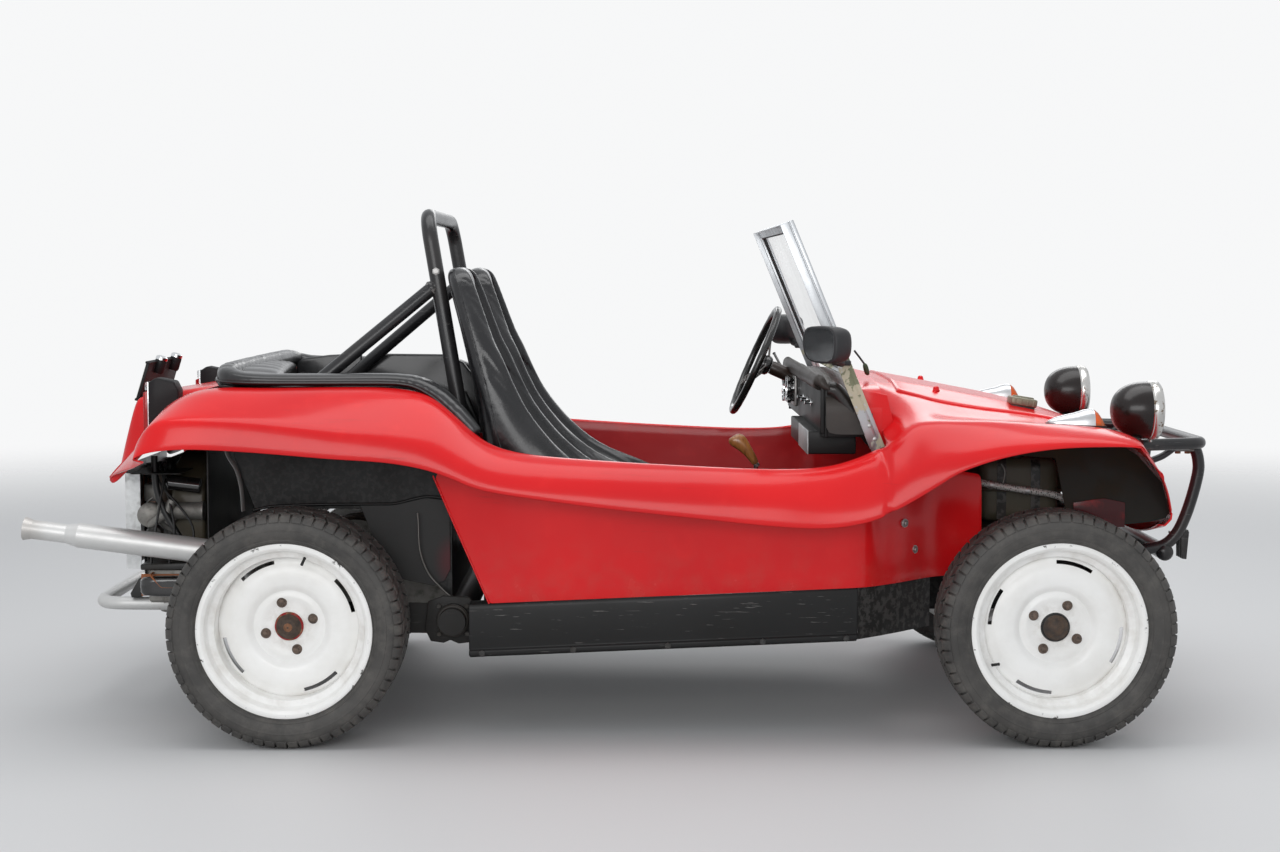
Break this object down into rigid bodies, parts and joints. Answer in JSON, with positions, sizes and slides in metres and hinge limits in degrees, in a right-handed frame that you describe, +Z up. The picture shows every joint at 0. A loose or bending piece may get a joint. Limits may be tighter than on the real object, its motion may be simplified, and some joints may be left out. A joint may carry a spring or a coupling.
{
  "type": "dune buggy",
  "caption": "Open two-seat dune buggy with moulded red body, roll bar, flat windscreen, rear engine and steered front wheels.",
  "frame": {"origin": "on the ground, under the middle of the car's overall box", "axes": "+X forward, +Y the car's left, +Z up"},
  "size_m": [3.2597, 1.58, 1.404],
  "materials": {
    "body_paint": "gloss red gelcoat on glass fibre",
    "chassis_paint": "satin black",
    "wheel_paint": "white enamel",
    "tyre": "worn",
    "vinyl": "gloss black upholstery vinyl",
    "dash_vinyl": "matt padded vinyl",
    "frame_metal": "polished, worn",
    "glass": "clear",
    "lamp_plastic": "gloss black",
    "drum_iron": "rough",
    "engine_alloy": "cast, oily",
    "silver_paint": "silver paint",
    "tank_paint": "satin",
    "grip": "satin black"
  },
  "bodies": {
    "chassis": {"body_side_left": "body_paint", "body_side_right": "body_paint", "bonnet": "body_paint", "carburettor": "engine_alloy", "controls": "grip", "crank_pulley": "chassis_paint", "dashboard": "dash_vinyl", "engine_block": "engine_alloy", "engine_guard": "silver_paint", "exhaust": "silver_paint", "fan_shroud": "chassis_paint", "floor_pan": "chassis_paint", "front_axle_beam": "chassis_paint", "front_bumper": "chassis_paint", "front_lamps": "lamp_plastic", "front_moulding": "body_paint", "fuel_tank": "tank_paint", "gearbox": "engine_alloy", "mirrors": "lamp_plastic", "number_plate": "grip", "outriggers": "chassis_paint", "rear_bench": "vinyl", "rear_bumper": "silver_paint", "rear_lamps": "lamp_plastic", "rear_padding": "vinyl", "rear_tub": "chassis_paint", "roll_bar": "chassis_paint", "scuttle": "dash_vinyl", "seat_left": "vinyl", "seat_right": "vinyl", "side_panel_left": "body_paint", "side_panel_right": "body_paint", "sills": "chassis_paint", "steering_column": "chassis_paint", "tail_panel": "body_paint", "torsion_tube": "chassis_paint", "windscreen_frame": "frame_metal", "windscreen_glass": "glass"},
    "knuckle_left": {"knuckle_left": "chassis_paint"},
    "knuckle_right": {"knuckle_right": "chassis_paint"},
    "wheel_front_left": {"wheel_front_left": "wheel_paint", "tyre_front_left": "tyre", "drum_front_left": "drum_iron"},
    "wheel_front_right": {"wheel_front_right": "wheel_paint", "tyre_front_right": "tyre", "drum_front_right": "drum_iron"},
    "wheel_rear_left": {"wheel_rear_left": "wheel_paint", "tyre_rear_left": "tyre", "drum_rear_left": "drum_iron"},
    "wheel_rear_right": {"wheel_rear_right": "wheel_paint", "tyre_rear_right": "tyre", "drum_rear_right": "drum_iron"},
    "steering": {"steering_wheel": "grip"}
  },
  "joints": [
    {"name": "steer_left", "type": "hinge", "parent": "chassis", "child": "knuckle_left", "pos_m": [1.139, 0.575, 0.307], "axis": [0, 0, 1], "range_deg": [-25, 25]},
    {"name": "steer_right", "type": "hinge", "parent": "chassis", "child": "knuckle_right", "pos_m": [1.139, -0.575, 0.307], "axis": [0, 0, 1], "range_deg": [-25, 25]},
    {"name": "steering_turn", "type": "hinge", "parent": "chassis", "child": "steering", "pos_m": [0.416, 0.32, 0.958], "axis": [-0.9143, 0, 0.4051], "range_deg": [-350, 350]},
    {"name": "spin_front_left", "type": "hinge", "parent": "knuckle_left", "child": "wheel_front_left", "pos_m": [1.139, 0.692, 0.307], "axis": [0, 1, 0], "continuous": true},
    {"name": "spin_front_right", "type": "hinge", "parent": "knuckle_right", "child": "wheel_front_right", "pos_m": [1.139, -0.692, 0.307], "axis": [0, 1, 0], "continuous": true},
    {"name": "spin_rear_left", "type": "hinge", "parent": "chassis", "child": "wheel_rear_left", "pos_m": [-0.861, 0.677, 0.307], "axis": [0, 1, 0], "continuous": true},
    {"name": "spin_rear_right", "type": "hinge", "parent": "chassis", "child": "wheel_rear_right", "pos_m": [-0.861, -0.677, 0.307], "axis": [0, 1, 0], "continuous": true}
  ],
  "couplings": [
    {"joint": "steer_right", "follows": "steer_left", "ratio": 1},
    {"joint": "steering_turn", "follows": "steer_left", "ratio": 14}
  ]
}
